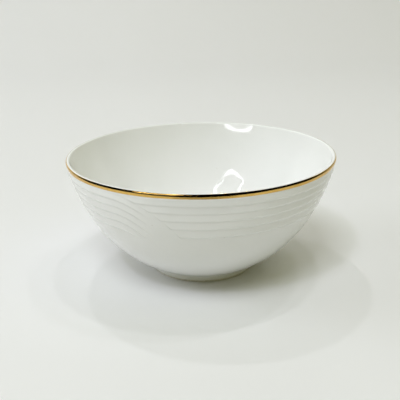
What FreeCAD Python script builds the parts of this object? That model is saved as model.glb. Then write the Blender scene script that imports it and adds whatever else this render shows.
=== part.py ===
import FreeCAD, Part
import math
import os

import Sketcher
from FreeCAD import Placement, Rotation, Vector

# Porcelain serving bowl: a deep round bowl on a low foot ring, glazed inside and out, with
# stepped relief moulded into the upper outside and a gold line fired on to the lip.
#
# Frame: millimetres, +Z up, origin at the middle of the foot's standing edge. The bowl is a body
# of revolution about Z, apart from its relief. Each relief step runs level round the wall, then
# turns down in a quarter sweep and dies out where the next set of steps begins, and that
# happens repeat_count times round the bowl.

DIMENSIONS = (
    ("rim_radius", 90.0, "outermost radius of the glazed lip"),
    ("bowl_height", 80.5, "from the standing edge to the crest of the glazed lip"),
    ("lip_thickness", 2.5, "thickness of the glazed lip, which is fully rounded"),
    ("rim_lean", 13.7, "lean of the wall at the lip, in degrees from upright"),
    ("shoulder_radius", 171.0, "radius of the upper wall's outside, glazed"),
    ("belly_join", 44.0, "height at which the shoulder curve passes into the belly"),
    ("belly_radius", 86.5, "radius of the lower wall's outside, glazed"),
    ("floor_height", 7.5, "height of the glazed floor inside"),
    ("floor_flat", 18.0, "radius of the level middle of the floor"),
    ("glaze_thickness", 0.25, "thickness of every glaze layer"),
    ("gold_thickness", 0.2, "thickness of the gold line"),
    ("gold_drop", 2.95, "depth of the gold's lower edge under the crest"),
    ("gold_reach", 0.8, "how far outside the lip's middle the gold's upper edge lies"),
    ("gold_strokes", 5, "number of equal strokes in which the gold goes round the lip"),
    ("foot_radius", 36.8, "outer radius of the foot ring near its standing edge"),
    ("foot_width", 3.8, "thickness of the foot ring there"),
    ("foot_depth", 4.0, "height of the base's underside above the standing edge"),
    ("foot_draft", 6.0, "taper of the foot's outer side, in degrees"),
    ("foot_fillet", 2.2, "radius of the slip fillet between foot and belly"),
    ("edge_round", 0.6, "radius of the standing edge's two corners"),
    ("glaze_stop", 1.4, "height at which the glaze on the foot stops"),
    ("well_fillet", 1.0, "radius of the glaze in the corner inside the foot ring"),
    ("steps_top", 4.2, "depth under the crest at which the first step's face begins"),
    ("first_step", 8.2, "depth of the first step's lower edge"),
    ("step_pitch", 4.95, "depth from the first step to the second"),
    ("step_growth", 0.3, "by how much each step is deeper than the one above it"),
    ("step_rise", 0.55, "how far a step's nose stands proud of the wall"),
    ("step_sink", 0.15, "how far a step's root is sunk into the wall"),
    ("step_back", 1.0, "how far the back of the relief is sunk into the wall"),
    ("ledge_drop", 0.5, "depth from a step's nose to its root"),
    ("sweep_depth", 44.2, "depth of the point that the sweeps turn about"),
    ("sweep_radius", 40.4, "radius of the arc along which the next steps begin"),
    ("sweep_hold", 18.0, "degrees of turn over which a sweep keeps its full height"),
    ("sweep_reach", 56.0, "degrees of turn after which a sweep has died out"),
    ("sweep_azimuth", -37.5, "direction of the first sweep, in degrees from -Y towards +X"),
    ("repeat_count", 3, "number of sweeps round the bowl"),
)
STEP_COUNT = 5
SWEEP_SECTIONS = 8
START, END, CENTRE = 1, 2, 3
ORIGIN = (-1, 1)
X_AXIS, Z_AXIS = -1, -2

doc = FreeCAD.newDocument("serving_bowl")


# ---------------------------------------------------------------- driving dimensions

def make_sheet():
    """Write every driving dimension into the spreadsheet, with its name as the alias."""
    made = doc.addObject("Spreadsheet::Sheet", "sheet")
    for row, (alias, value, meaning) in enumerate(DIMENSIONS, start=1):
        made.set(f"A{row}", meaning)
        made.set(f"B{row}", str(value))
        made.setAlias(f"B{row}", alias)
    doc.recompute()
    return made


sheet = make_sheet()


def size(alias):
    """The number in the sheet's cell of that name."""
    return float(getattr(sheet, alias))


def direction(degrees):
    """Unit vector in a sketch, anticlockwise from its horizontal axis."""
    return Vector(math.cos(math.radians(degrees)), math.sin(math.radians(degrees)), 0)


# ---------------------------------------------------------------- centres of the wall's curves

def wall_centres():
    """Centres of the wall's arcs in its section, and the angles at which they meet."""
    glaze = size("glaze_thickness")
    half_lip = size("lip_thickness") / 2
    shoulder = size("shoulder_radius")
    lean = math.radians(size("rim_lean"))
    lip = Vector(size("rim_radius") - half_lip, size("bowl_height") - half_lip, 0)
    upper = lip + Vector(-math.cos(lean), math.sin(lean), 0) * (shoulder - half_lip)
    join = math.degrees(math.asin((upper.y - size("belly_join")) / (shoulder - glaze)))
    lower = upper + direction(-join) * (shoulder - size("belly_radius"))
    inside_upper = shoulder - size("lip_thickness") + glaze
    across = size("floor_flat") - upper.x
    drop = upper.y - (size("floor_height") - glaze)
    inside_lower = (across ** 2 + drop ** 2 - inside_upper ** 2) / (2 * (drop - inside_upper))
    bottom = Vector(size("floor_flat"), size("floor_height") - glaze + inside_lower, 0)
    turn = math.degrees(math.atan2(upper.y - bottom.y, across))
    return {
        "lip": lip,
        "shoulder": upper,
        "belly": lower,
        "floor": bottom,
        "join": join,
        "inside_join": turn,
        "inside_upper": inside_upper,
        "inside_lower": inside_lower,
    }


wall = wall_centres()


def shoulder_reach(height, radius):
    """Distance from Z of the shoulder curve of that radius, at that height."""
    below = wall["shoulder"].y - height
    return wall["shoulder"].x + math.sqrt(radius ** 2 - below ** 2)


def foot_centres():
    """Centres of the foot's outer edge round and of its fillet, and where that meets the belly."""
    draft = size("foot_draft")
    rounding = size("edge_round")
    fillet = size("foot_fillet")
    edge = Vector(size("foot_radius") - rounding, rounding, 0)
    upward = direction(90 - draft)
    reach = size("belly_radius") - size("glaze_thickness") + fillet
    offset = edge + direction(-draft) * (rounding + fillet) - wall["belly"]
    along = offset.dot(upward)
    climb = -along - math.sqrt(along ** 2 - offset.dot(offset) + reach ** 2)
    centre = wall["belly"] + offset + upward * climb
    from_belly = centre - wall["belly"]
    meeting = math.degrees(math.atan2(from_belly.y, from_belly.x))
    return {"edge": edge, "fillet": centre, "meeting": meeting}


foot = foot_centres()


# ---------------------------------------------------------------- sketch helpers

def arc(centre, radius, start, end):
    """Arc of a circle in a sketch, anticlockwise between two angles in degrees."""
    circle = Part.Circle(centre, Vector(0, 0, 1), radius)
    return Part.ArcOfCircle(circle, math.radians(start), math.radians(end))


def line(x1, y1, x2, y2):
    """Straight line in a sketch."""
    return Part.LineSegment(Vector(x1, y1, 0), Vector(x2, y2, 0))


def origin_plane(body, role):
    """The body's own origin plane of that role."""
    return next(item for item in body.Origin.OriginFeatures if item.Role == role)


def make_body(label):
    """An empty PartDesign body."""
    body = doc.addObject("PartDesign::Body", label)
    body.Label = label
    return body


def make_sketch(body, name, role="XZ_Plane"):
    """An empty sketch on one of the body's origin planes."""
    sketch = body.newObject("Sketcher::SketchObject", name)
    sketch.AttachmentSupport = (origin_plane(body, role), [""])
    sketch.MapMode = "FlatFace"
    return sketch


def relate(sketch, kind, *where):
    """Add a geometric constraint."""
    sketch.addConstraint(Sketcher.Constraint(kind, *where))


def bind(sketch, kind, where, now, formula):
    """Add a dimension that has the value now and follows a formula."""
    index = sketch.addConstraint(Sketcher.Constraint(kind, *where, now))
    sketch.setExpression(f"Constraints[{index}]", formula)


def bind_radius(sketch, item, formula):
    """Tie an arc's radius to a formula."""
    bind(sketch, "Radius", (item,), sketch.Geometry[item].Radius, formula)


def bind_x(sketch, item, end, formula):
    """Tie a point's distance from Z to a formula."""
    bind(sketch, "DistanceX", (*ORIGIN, item, end), sketch.getPoint(item, end).x, formula)


def bind_z(sketch, item, end, formula):
    """Tie a point's height to a formula."""
    bind(sketch, "DistanceY", (*ORIGIN, item, end), sketch.getPoint(item, end).y, formula)


def publish_centre(sketch, item, name):
    """Name an arc's centre, so that other sketches can follow it."""
    centre = sketch.getPoint(item, CENTRE)
    for kind, value, letter in (("DistanceX", centre.x, "x"), ("DistanceY", centre.y, "z")):
        index = sketch.addConstraint(Sketcher.Constraint(kind, *ORIGIN, item, CENTRE, value))
        sketch.setDriving(index, False)
        sketch.renameConstraint(index, f"{name}_{letter}")


def follow_centre(sketch, item, source, name):
    """Keep an arc's centre on one that another sketch has published."""
    bind_x(sketch, item, CENTRE, f"{source}.Constraints.{name}_x")
    bind_z(sketch, item, CENTRE, f"{source}.Constraints.{name}_z")


def pin_lip_centre(sketch, item):
    """Keep an arc's centre in the middle of the rounded lip."""
    bind_x(sketch, item, CENTRE, "sheet.rim_radius - sheet.lip_thickness / 2")
    bind_z(sketch, item, CENTRE, "sheet.bowl_height - sheet.lip_thickness / 2")


def revolve(body, sketch):
    """Turn the sketch a full circle about Z."""
    feature = body.newObject("PartDesign::Revolution", f"{sketch.Name}_turned")
    feature.Profile = sketch
    feature.ReferenceAxis = (sketch, ["V_Axis"])
    feature.Angle = 360
    return feature


def repeat_round(body, feature, label, count_formula):
    """Repeat a feature evenly round Z."""
    pattern = body.newObject("PartDesign::PolarPattern", label)
    pattern.Originals = [feature]
    pattern.Axis = (origin_plane(body, "Z_Axis"), [""])
    pattern.Angle = 360
    pattern.setExpression("Occurrences", count_formula)
    body.Tip = pattern
    return pattern


# ---------------------------------------------------------------- sections of revolution

def draw_wall_section(sketch):
    """Section of the unglazed wall and base, from the axis out to the lip and back."""
    glaze = size("glaze_thickness")
    lean = size("rim_lean")
    base = size("foot_depth")
    floor = size("floor_height") - glaze
    flat = size("floor_flat")
    belly = size("belly_radius") - glaze
    low = -math.degrees(math.asin((wall["belly"].y - base) / belly))
    low_x = wall["belly"].x + belly * math.cos(math.radians(low))
    lip_arc, shoulder_arc, belly_arc, base_line, axis_line, floor_line, bowl_arc, inner_arc = range(8)
    sketch.addGeometry([
        arc(wall["lip"], size("lip_thickness") / 2 - glaze, -lean, 180 - lean),
        arc(wall["shoulder"], size("shoulder_radius") - glaze, -wall["join"], -lean),
        arc(wall["belly"], belly, low, -wall["join"]),
        line(low_x, base, 0, base),
        line(0, base, 0, floor),
        line(0, floor, flat, floor),
        arc(wall["floor"], wall["inside_lower"], -90, -wall["inside_join"]),
        arc(wall["shoulder"], wall["inside_upper"], -wall["inside_join"], -lean),
    ])
    relate(sketch, "Tangent", lip_arc, START, shoulder_arc, END)
    relate(sketch, "Tangent", shoulder_arc, START, belly_arc, END)
    relate(sketch, "Coincident", belly_arc, START, base_line, START)
    relate(sketch, "Horizontal", base_line)
    relate(sketch, "Coincident", base_line, END, axis_line, START)
    relate(sketch, "PointOnObject", axis_line, START, Z_AXIS)
    relate(sketch, "Vertical", axis_line)
    relate(sketch, "Coincident", axis_line, END, floor_line, START)
    relate(sketch, "Horizontal", floor_line)
    relate(sketch, "Tangent", floor_line, END, bowl_arc, START)
    relate(sketch, "Tangent", bowl_arc, END, inner_arc, START)
    relate(sketch, "Tangent", inner_arc, END, lip_arc, END)
    relate(sketch, "Coincident", shoulder_arc, CENTRE, inner_arc, CENTRE)
    pin_lip_centre(sketch, lip_arc)
    bind_radius(sketch, lip_arc, "sheet.lip_thickness / 2 - sheet.glaze_thickness")
    bind_radius(sketch, shoulder_arc, "sheet.shoulder_radius - sheet.glaze_thickness")
    rise = wall["shoulder"].y - wall["lip"].y
    bind(sketch, "DistanceY", (lip_arc, CENTRE, shoulder_arc, CENTRE), rise,
         "(sheet.shoulder_radius - sheet.lip_thickness / 2) * sin(sheet.rim_lean)")
    bind_z(sketch, shoulder_arc, START, "sheet.belly_join")
    bind_radius(sketch, belly_arc, "sheet.belly_radius - sheet.glaze_thickness")
    bind_z(sketch, base_line, START, "sheet.foot_depth")
    bind_z(sketch, floor_line, START, "sheet.floor_height - sheet.glaze_thickness")
    bind_x(sketch, floor_line, END, "sheet.floor_flat")
    publish_centre(sketch, shoulder_arc, "shoulder")
    publish_centre(sketch, belly_arc, "belly")
    publish_centre(sketch, bowl_arc, "floor")


def draw_foot_section(sketch):
    """Section of the foot ring, with its fillet against the belly and its flat standing edge."""
    draft = size("foot_draft")
    fillet = size("foot_fillet")
    rounding = size("edge_round")
    base = size("foot_depth")
    inner = size("foot_radius") - size("foot_width")
    belly = size("belly_radius") - size("glaze_thickness")
    low = -math.degrees(math.asin((wall["belly"].y - base) / belly))
    low_x = wall["belly"].x + belly * math.cos(math.radians(low))
    side_low = foot["edge"] + direction(-draft) * rounding
    side_high = foot["fillet"] + direction(180 - draft) * fillet
    belly_arc, fillet_arc, side, outer_round, land, inner_round, inner_side, seat = range(8)
    sketch.addGeometry([
        arc(wall["belly"], belly, low, foot["meeting"]),
        arc(foot["fillet"], fillet, foot["meeting"] + 180, 180 - draft),
        line(side_low.x, side_low.y, side_high.x, side_high.y),
        arc(foot["edge"], rounding, -90, -draft),
        line(inner + rounding, 0, foot["edge"].x, 0),
        arc(Vector(inner + rounding, rounding, 0), rounding, 180, 270),
        line(inner, rounding, inner, base),
        line(inner, base, low_x, base),
    ])
    relate(sketch, "Tangent", belly_arc, END, fillet_arc, START)
    relate(sketch, "Tangent", fillet_arc, END, side, END)
    relate(sketch, "Tangent", side, START, outer_round, END)
    relate(sketch, "Tangent", outer_round, START, land, END)
    relate(sketch, "PointOnObject", land, START, X_AXIS)
    relate(sketch, "Horizontal", land)
    relate(sketch, "Tangent", land, START, inner_round, END)
    relate(sketch, "Tangent", inner_round, START, inner_side, START)
    relate(sketch, "Vertical", inner_side)
    relate(sketch, "Coincident", inner_side, END, seat, START)
    relate(sketch, "Horizontal", seat)
    relate(sketch, "Coincident", seat, END, belly_arc, START)
    follow_centre(sketch, belly_arc, "wall_section", "belly")
    bind_radius(sketch, belly_arc, "sheet.belly_radius - sheet.glaze_thickness")
    bind_radius(sketch, fillet_arc, "sheet.foot_fillet")
    bind_radius(sketch, outer_round, "sheet.edge_round")
    bind_radius(sketch, inner_round, "sheet.edge_round")
    bind(sketch, "Angle", (side,), math.radians(90 - draft), "(90 - sheet.foot_draft) * 1 deg")
    bind_x(sketch, outer_round, CENTRE, "sheet.foot_radius - sheet.edge_round")
    bind_x(sketch, inner_side, START, "sheet.foot_radius - sheet.foot_width")
    bind_z(sketch, seat, START, "sheet.foot_depth")
    publish_centre(sketch, fillet_arc, "fillet")


def draw_inside_glaze_section(sketch):
    """Section of the inside glaze: the wall's inner outline and the same outline one glaze in."""
    glaze = size("glaze_thickness")
    lean = size("rim_lean")
    top = size("floor_height")
    flat = size("floor_flat")
    half_lip = size("lip_thickness") / 2
    crest = size("bowl_height")
    (under_lip, under_wall, under_bowl, under_floor, axis_line,
     floor_line, bowl_arc, wall_arc, lip_arc, crest_line) = range(10)
    sketch.addGeometry([
        arc(wall["lip"], half_lip - glaze, 90, 180 - lean),
        arc(wall["shoulder"], wall["inside_upper"], -wall["inside_join"], -lean),
        arc(wall["floor"], wall["inside_lower"], -90, -wall["inside_join"]),
        line(0, top - glaze, flat, top - glaze),
        line(0, top - glaze, 0, top),
        line(0, top, flat, top),
        arc(wall["floor"], wall["inside_lower"] - glaze, -90, -wall["inside_join"]),
        arc(wall["shoulder"], wall["inside_upper"] - glaze, -wall["inside_join"], -lean),
        arc(wall["lip"], half_lip, 90, 180 - lean),
        line(wall["lip"].x, crest - glaze, wall["lip"].x, crest),
    ])
    relate(sketch, "Vertical", under_lip, CENTRE, under_lip, START)
    relate(sketch, "Tangent", under_lip, END, under_wall, END)
    relate(sketch, "Tangent", under_wall, START, under_bowl, END)
    relate(sketch, "Tangent", under_bowl, START, under_floor, END)
    relate(sketch, "Horizontal", under_floor)
    relate(sketch, "PointOnObject", under_floor, START, Z_AXIS)
    relate(sketch, "Coincident", under_floor, START, axis_line, START)
    relate(sketch, "Coincident", axis_line, END, floor_line, START)
    relate(sketch, "PointOnObject", floor_line, START, Z_AXIS)
    relate(sketch, "Horizontal", floor_line)
    relate(sketch, "Tangent", floor_line, END, bowl_arc, START)
    relate(sketch, "Tangent", bowl_arc, END, wall_arc, START)
    relate(sketch, "Tangent", wall_arc, END, lip_arc, END)
    relate(sketch, "Coincident", lip_arc, START, crest_line, END)
    relate(sketch, "Coincident", crest_line, START, under_lip, START)
    relate(sketch, "Vertical", crest_line)
    relate(sketch, "Coincident", bowl_arc, CENTRE, under_bowl, CENTRE)
    relate(sketch, "Coincident", wall_arc, CENTRE, under_wall, CENTRE)
    relate(sketch, "Coincident", lip_arc, CENTRE, under_lip, CENTRE)
    pin_lip_centre(sketch, under_lip)
    follow_centre(sketch, under_wall, "wall_section", "shoulder")
    follow_centre(sketch, under_bowl, "wall_section", "floor")
    bind_radius(sketch, under_lip, "sheet.lip_thickness / 2 - sheet.glaze_thickness")
    bind_radius(sketch, lip_arc, "sheet.lip_thickness / 2")


def draw_outside_glaze_section(sketch):
    """Section of the glazed outside, from the crest to the foot, backed well inside the clay."""
    glaze = size("glaze_thickness")
    lean = size("rim_lean")
    draft = size("foot_draft")
    half_lip = size("lip_thickness") / 2
    shoulder = size("shoulder_radius")
    belly = size("belly_radius")
    stop = size("glaze_stop")
    back_x = size("foot_radius") - size("foot_width") / 2
    fillet = size("foot_fillet") - glaze
    side_high = foot["fillet"] + direction(180 - draft) * fillet
    side_low_x = side_high.x - (side_high.y - stop) * math.tan(math.radians(draft))
    back_turn = -math.degrees(math.acos((back_x - wall["belly"].x) / (belly - half_lip)))
    back_low = wall["belly"].y + (belly - half_lip) * math.sin(math.radians(back_turn))
    (lip_arc, shoulder_arc, belly_arc, fillet_arc, side,
     stop_line, riser, back_belly, back_shoulder, crest_line) = range(10)
    sketch.addGeometry([
        arc(wall["lip"], half_lip, -lean, 90),
        arc(wall["shoulder"], shoulder, -wall["join"], -lean),
        arc(wall["belly"], belly, foot["meeting"], -wall["join"]),
        arc(foot["fillet"], fillet, foot["meeting"] + 180, 180 - draft),
        line(side_low_x, stop, side_high.x, side_high.y),
        line(back_x, stop, side_low_x, stop),
        line(back_x, stop, back_x, back_low),
        arc(wall["belly"], belly - half_lip, back_turn, -wall["join"]),
        arc(wall["shoulder"], shoulder - half_lip, -wall["join"], -lean),
        line(wall["lip"].x, wall["lip"].y, wall["lip"].x, size("bowl_height")),
    ])
    relate(sketch, "Tangent", lip_arc, START, shoulder_arc, END)
    relate(sketch, "Tangent", shoulder_arc, START, belly_arc, END)
    relate(sketch, "Tangent", belly_arc, START, fillet_arc, START)
    relate(sketch, "Tangent", fillet_arc, END, side, END)
    relate(sketch, "Coincident", side, START, stop_line, END)
    relate(sketch, "Horizontal", stop_line)
    relate(sketch, "Coincident", stop_line, START, riser, START)
    relate(sketch, "Vertical", riser)
    relate(sketch, "Coincident", riser, END, back_belly, START)
    relate(sketch, "Tangent", back_belly, END, back_shoulder, START)
    relate(sketch, "Coincident", back_shoulder, END, lip_arc, CENTRE)
    relate(sketch, "Coincident", crest_line, START, lip_arc, CENTRE)
    relate(sketch, "Vertical", crest_line)
    relate(sketch, "Coincident", crest_line, END, lip_arc, END)
    relate(sketch, "Coincident", back_shoulder, CENTRE, shoulder_arc, CENTRE)
    relate(sketch, "Coincident", back_belly, CENTRE, belly_arc, CENTRE)
    pin_lip_centre(sketch, lip_arc)
    follow_centre(sketch, shoulder_arc, "wall_section", "shoulder")
    follow_centre(sketch, belly_arc, "wall_section", "belly")
    follow_centre(sketch, fillet_arc, "foot_section", "fillet")
    bind_radius(sketch, lip_arc, "sheet.lip_thickness / 2")
    bind(sketch, "Angle", (side,), math.radians(90 - draft), "(90 - sheet.foot_draft) * 1 deg")
    bind_z(sketch, side, START, "sheet.glaze_stop")
    bind_x(sketch, riser, START, "sheet.foot_radius - sheet.foot_width / 2")


def draw_base_glaze_section(sketch):
    """Section of the glaze under the base, turned down the inner side of the foot ring."""
    glaze = size("glaze_thickness")
    inner = size("foot_radius") - size("foot_width")
    base = size("foot_depth")
    stop = size("glaze_stop")
    fillet = size("well_fillet")
    corner = Vector(inner - glaze - fillet, base - glaze - fillet, 0)
    top, outside, stop_line, inside, fillet_arc, under, axis_line = range(7)
    sketch.addGeometry([
        line(0, base, inner, base),
        line(inner, base, inner, stop),
        line(inner, stop, inner - glaze, stop),
        line(inner - glaze, stop, inner - glaze, corner.y),
        arc(corner, fillet, 0, 90),
        line(corner.x, base - glaze, 0, base - glaze),
        line(0, base - glaze, 0, base),
    ])
    relate(sketch, "Coincident", top, END, outside, START)
    relate(sketch, "Coincident", outside, END, stop_line, START)
    relate(sketch, "Coincident", stop_line, END, inside, START)
    relate(sketch, "Tangent", inside, END, fillet_arc, START)
    relate(sketch, "Tangent", fillet_arc, END, under, START)
    relate(sketch, "Coincident", under, END, axis_line, START)
    relate(sketch, "Coincident", axis_line, END, top, START)
    for level in (top, stop_line, under):
        relate(sketch, "Horizontal", level)
    for upright in (outside, inside):
        relate(sketch, "Vertical", upright)
    relate(sketch, "PointOnObject", top, START, Z_AXIS)
    relate(sketch, "PointOnObject", under, END, Z_AXIS)
    bind_z(sketch, top, START, "sheet.foot_depth")
    bind_x(sketch, outside, START, "sheet.foot_radius - sheet.foot_width")
    bind_z(sketch, outside, END, "sheet.glaze_stop")
    bind(sketch, "DistanceX", (stop_line, END, stop_line, START), glaze, "sheet.glaze_thickness")
    bind_z(sketch, under, END, "sheet.foot_depth - sheet.glaze_thickness")
    bind_radius(sketch, fillet_arc, "sheet.well_fillet")


def draw_gold_section(sketch):
    """Section of the gold line on the outer side of the lip."""
    gold = size("gold_thickness")
    half_lip = size("lip_thickness") / 2
    shoulder = size("shoulder_radius")
    lean = size("rim_lean")
    low = size("bowl_height") - size("gold_drop")
    reach = size("gold_reach")

    def low_turn(radius):
        return -math.degrees(math.asin((wall["shoulder"].y - low) / radius))

    def high_turn(radius):
        return math.degrees(math.acos(reach / radius))

    inner_low = shoulder_reach(low, shoulder)
    outer_low = shoulder_reach(low, shoulder + gold)
    high_x = wall["lip"].x + reach
    inner_high = wall["lip"].y + math.sqrt(half_lip ** 2 - reach ** 2)
    outer_high = wall["lip"].y + math.sqrt((half_lip + gold) ** 2 - reach ** 2)
    under_lip, under_wall, low_edge, wall_arc, lip_arc, high_edge = range(6)
    sketch.addGeometry([
        arc(wall["lip"], half_lip, -lean, high_turn(half_lip)),
        arc(wall["shoulder"], shoulder, low_turn(shoulder), -lean),
        line(inner_low, low, outer_low, low),
        arc(wall["shoulder"], shoulder + gold, low_turn(shoulder + gold), -lean),
        arc(wall["lip"], half_lip + gold, -lean, high_turn(half_lip + gold)),
        line(high_x, inner_high, high_x, outer_high),
    ])
    relate(sketch, "Tangent", under_lip, START, under_wall, END)
    relate(sketch, "Coincident", under_wall, START, low_edge, START)
    relate(sketch, "Horizontal", low_edge)
    relate(sketch, "Coincident", low_edge, END, wall_arc, START)
    relate(sketch, "Tangent", wall_arc, END, lip_arc, START)
    relate(sketch, "Coincident", under_lip, END, high_edge, START)
    relate(sketch, "Vertical", high_edge)
    relate(sketch, "Coincident", high_edge, END, lip_arc, END)
    relate(sketch, "Coincident", lip_arc, CENTRE, under_lip, CENTRE)
    relate(sketch, "Coincident", wall_arc, CENTRE, under_wall, CENTRE)
    pin_lip_centre(sketch, under_lip)
    follow_centre(sketch, under_wall, "wall_section", "shoulder")
    bind_radius(sketch, under_lip, "sheet.lip_thickness / 2")
    bind_radius(sketch, lip_arc, "sheet.lip_thickness / 2 + sheet.gold_thickness")
    bind_z(sketch, low_edge, START, "sheet.bowl_height - sheet.gold_drop")
    bind_x(sketch, high_edge, START,
           "sheet.rim_radius - sheet.lip_thickness / 2 + sheet.gold_reach")


# ---------------------------------------------------------------- stepped relief

def step_depth(number):
    """Depth under the crest of a step's root: the steps grow a little down the wall."""
    return (size("first_step") + number * size("step_pitch")
            + size("step_growth") * number * (number - 1) / 2)


def step_formula(number):
    """The same depth, as a formula on the sheet."""
    growth = number * (number - 1) / 2
    return f"(sheet.first_step + {number} * sheet.step_pitch + {growth} * sheet.step_growth)"


def draw_step_section(sketch, skin, skin_formula):
    """Saw-toothed section of the steps: each face leans out to a nose, then a ledge falls back."""
    crest = size("bowl_height")
    surface = size("shoulder_radius") - size("glaze_thickness") + skin
    nose = surface + size("step_rise")
    root = surface - size("step_sink")
    back = surface - size("step_back")
    heights = [crest - size("steps_top")]
    formulas = ["sheet.steps_top"]
    for number in range(STEP_COUNT):
        depth = step_depth(number)
        heights += [crest - depth + size("ledge_drop"), crest - depth]
        formulas += [f"{step_formula(number)} - sheet.ledge_drop", step_formula(number)]
    radii = [root] + [nose, root] * STEP_COUNT
    corners = [(shoulder_reach(z, radius), z) for z, radius in zip(heights, radii)]
    high, low = heights[0], heights[-1]

    def turn(height, radius):
        return -math.degrees(math.asin((wall["shoulder"].y - height) / radius))

    sketch.addGeometry([line(*upper, *lower) for upper, lower in zip(corners, corners[1:])])
    low_line = len(corners) - 1
    back_arc, high_line = low_line + 1, low_line + 2
    sketch.addGeometry([
        line(*corners[-1], shoulder_reach(low, back), low),
        arc(wall["shoulder"], back, turn(low, back), turn(high, back)),
        line(shoulder_reach(high, back), high, *corners[0]),
    ])
    circles = [Part.Circle(wall["shoulder"], Vector(0, 0, 1), radius) for radius in (nose, root)]
    nose_circle, root_circle = sketch.addGeometry(circles, True)
    for item in range(low_line):
        relate(sketch, "Coincident", item, END, item + 1, START)
        circle = nose_circle if item % 2 else root_circle
        relate(sketch, "PointOnObject", item, START, circle)
        bind_z(sketch, item, START, f"sheet.bowl_height - ({formulas[item]})")
    relate(sketch, "PointOnObject", low_line, START, root_circle)
    bind_z(sketch, low_line, START, f"sheet.bowl_height - ({formulas[-1]})")
    relate(sketch, "Horizontal", low_line)
    relate(sketch, "Coincident", low_line, END, back_arc, START)
    relate(sketch, "Coincident", back_arc, END, high_line, START)
    relate(sketch, "Horizontal", high_line)
    relate(sketch, "Coincident", high_line, END, 0, START)
    follow_centre(sketch, back_arc, "wall_section", "shoulder")
    formula = f"sheet.shoulder_radius - sheet.glaze_thickness + {skin_formula}"
    bind_radius(sketch, back_arc, f"{formula} - sheet.step_back")
    for circle, change in ((nose_circle, "+ sheet.step_rise"), (root_circle, "- sheet.step_sink")):
        relate(sketch, "Coincident", circle, CENTRE, back_arc, CENTRE)
        bind_radius(sketch, circle, f"{formula} {change}")


def draw_sweep_boundary(sketch, skin, skin_formula):
    """Half disc that holds one set of sweeps and keeps the next steps out."""
    radius = size("sweep_radius") - skin
    level = size("bowl_height") - size("sweep_depth")
    sketch.addGeometry([
        arc(Vector(0, level, 0), radius, -90, 90),
        line(0, level + radius, 0, level - radius),
    ])
    relate(sketch, "Coincident", 0, END, 1, START)
    relate(sketch, "Coincident", 0, START, 1, END)
    relate(sketch, "Vertical", 1)
    relate(sketch, "PointOnObject", 0, CENTRE, Z_AXIS)
    relate(sketch, "PointOnObject", 1, START, Z_AXIS)
    bind_z(sketch, 0, CENTRE, "sheet.bowl_height - sheet.sweep_depth")
    bind_radius(sketch, 0, f"sheet.sweep_radius - {skin_formula}")


def relief_turn(number=0):
    """Placement that brings the relief from +X round to its sweep of that number."""
    step = 360 / size("repeat_count")
    return Placement(Vector(), Rotation(Vector(0, 0, 1), size("sweep_azimuth") - 90 + number * step))


def make_terraces(label, skin, skin_formula):
    """The level steps: turned right round, then cut away where each set of sweeps lies."""
    body = make_body(label)
    section = make_sketch(body, f"{label}_section")
    draw_step_section(section, skin, skin_formula)
    revolve(body, section)
    doc.recompute()
    whole = body.Shape.Volume
    boundary = make_sketch(body, f"{label}_boundary", "YZ_Plane")
    draw_sweep_boundary(boundary, skin, skin_formula)
    cut = body.newObject("PartDesign::Pocket", f"{label}_cut")
    cut.Profile = boundary
    cut.Type = "ThroughAll"
    cut.Reversed = True
    doc.recompute()
    once = whole - body.Shape.Volume
    repeat_round(body, cut, f"{label}_repeat", "sheet.repeat_count")
    doc.recompute()
    removed = whole - body.Shape.Volume
    expected = once * size("repeat_count")
    if once <= 0 or abs(removed - expected) > 0.01 * expected:
        raise RuntimeError(f"{label}: the sweeps' pockets removed {removed:.1f} mm3, not {expected:.1f}")
    body.Placement = relief_turn()
    return body


def sweep_corners():
    """Corners of the steps' section, as depth and height above the wall, then its back."""
    root = -size("step_sink")
    corners = [(size("steps_top"), root)]
    for number in range(STEP_COUNT):
        depth = step_depth(number)
        corners += [(depth - size("ledge_drop"), size("step_rise")), (depth, root)]
    top, bottom = corners[0][0], corners[-1][0]
    back_points = 5
    for point in range(back_points):
        share = point / (back_points - 1)
        corners.append((bottom + (top - bottom) * share, -size("step_back")))
    return corners


def sweep_section(turn, surface):
    """The steps' section after the sweep has turned that many degrees, on the curved wall."""
    hold, reach = size("sweep_hold"), size("sweep_reach")
    share = min(max((turn - hold) / (reach - hold), 0), 1)
    kept = 1 - share * share * (3 - 2 * share)
    sunk = -size("step_sink")
    level = size("bowl_height") - size("sweep_depth")
    points = []
    for depth, height in sweep_corners():
        if height > sunk:
            height = sunk + (height - sunk) * kept
        arm = size("sweep_depth") - depth
        across = arm * math.sin(math.radians(turn))
        up = level + arm * math.cos(math.radians(turn))
        reach_here = shoulder_reach(up, surface) + height
        points.append(Vector(math.sqrt(reach_here ** 2 - across ** 2), across, up))
    return Part.makePolygon(points + points[:1])


def make_sweep(label, number, skin):
    """One set of sweeps: the steps' section carried down and round, dying into the wall."""
    surface = size("shoulder_radius") - size("glaze_thickness") + skin
    turns = [size("sweep_reach") * step / SWEEP_SECTIONS for step in range(SWEEP_SECTIONS + 1)]
    sweep = doc.addObject("Part::Feature", f"{label}_{number + 1}")
    sweep.Shape = Part.makeLoft([sweep_section(turn, surface) for turn in turns], True, False)
    sweep.Placement = relief_turn(number)
    return sweep


def make_relief(label, skin, skin_formula):
    """Every solid of the relief: the level steps and each set of sweeps."""
    terraces = make_terraces(f"{label}_terraces", skin, skin_formula)
    count = int(size("repeat_count"))
    return [terraces] + [make_sweep(f"{label}_sweep", number, skin) for number in range(count)]


# ---------------------------------------------------------------- the pieces

def make_turned(label, sketch_name, draw):
    """A piece that is one section turned about Z."""
    body = make_body(label)
    sketch = make_sketch(body, sketch_name)
    draw(sketch)
    revolve(body, sketch)
    return body


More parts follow.
